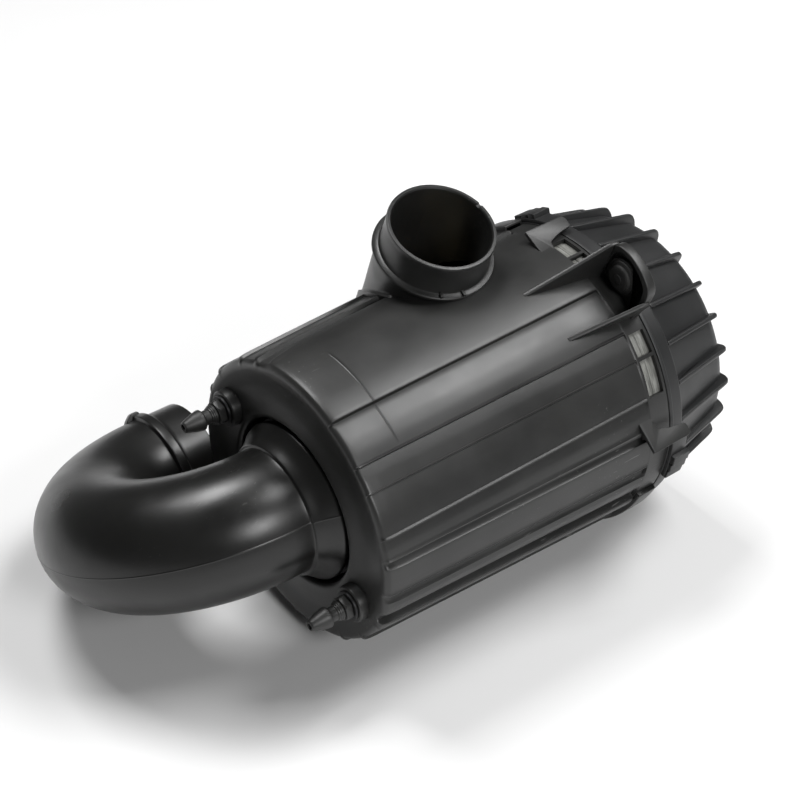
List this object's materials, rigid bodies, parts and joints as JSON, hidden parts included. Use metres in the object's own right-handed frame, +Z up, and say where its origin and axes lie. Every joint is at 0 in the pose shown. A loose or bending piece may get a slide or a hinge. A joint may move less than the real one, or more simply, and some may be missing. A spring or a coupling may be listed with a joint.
{
  "type": "air filter housing",
  "caption": "Round air filter housing lying on its side, with a side inlet spigot, a U-shaped outlet elbow, a finned pull-off cover and a pleated element inside.",
  "frame": {"origin": "centre of the footprint of the whole housing, at the level of the floor it lies on", "axes": "+X along the housing's axis from the elbow end to the cover, +Z up, the elbow's return leg on the +Y side"},
  "size_m": [0.4632, 0.3182, 0.2759],
  "materials": {
    "housing_plastic": "satin, moulded",
    "cover_plastic": "matt, moulded",
    "elbow_plastic": "smooth satin, blow-moulded",
    "pin_plastic": "matt",
    "black_rubber": "matt",
    "grey_seal": "satin light grey",
    "steel": "zinc plated",
    "dark_steel": "black oxide",
    "filter_paper": "matt pleated paper",
    "polyurethane": "matt"
  },
  "bodies": {
    "housing": {"housing_body": "housing_plastic", "outlet_elbow": "elbow_plastic", "elbow_seal_ring": "black_rubber", "elbow_retaining_ring": "dark_steel", "upper_mount_pin": "pin_plastic", "upper_pin_nut": "pin_plastic", "upper_pin_washer": "dark_steel", "lower_mount_pin": "pin_plastic", "lower_pin_nut": "pin_plastic", "lower_pin_washer": "dark_steel", "rear_lug_buffer": "black_rubber", "rear_lug_insert": "steel"},
    "element": {"filter_media": "filter_paper", "element_core": "steel", "element_outlet_cap": "polyurethane", "element_end_cap": "polyurethane"},
    "cover": {"end_cover": "cover_plastic", "cover_seal_ring": "grey_seal", "element_support_ring": "black_rubber"}
  },
  "joints": [
    {"name": "element_pull", "type": "slide", "parent": "housing", "child": "element", "axis": [1, 0, 0], "range_m": [0, 0.28]},
    {"name": "cover_pull", "type": "slide", "parent": "element", "child": "cover", "axis": [1, 0, 0], "range_m": [0, 0.12]}
  ]
}
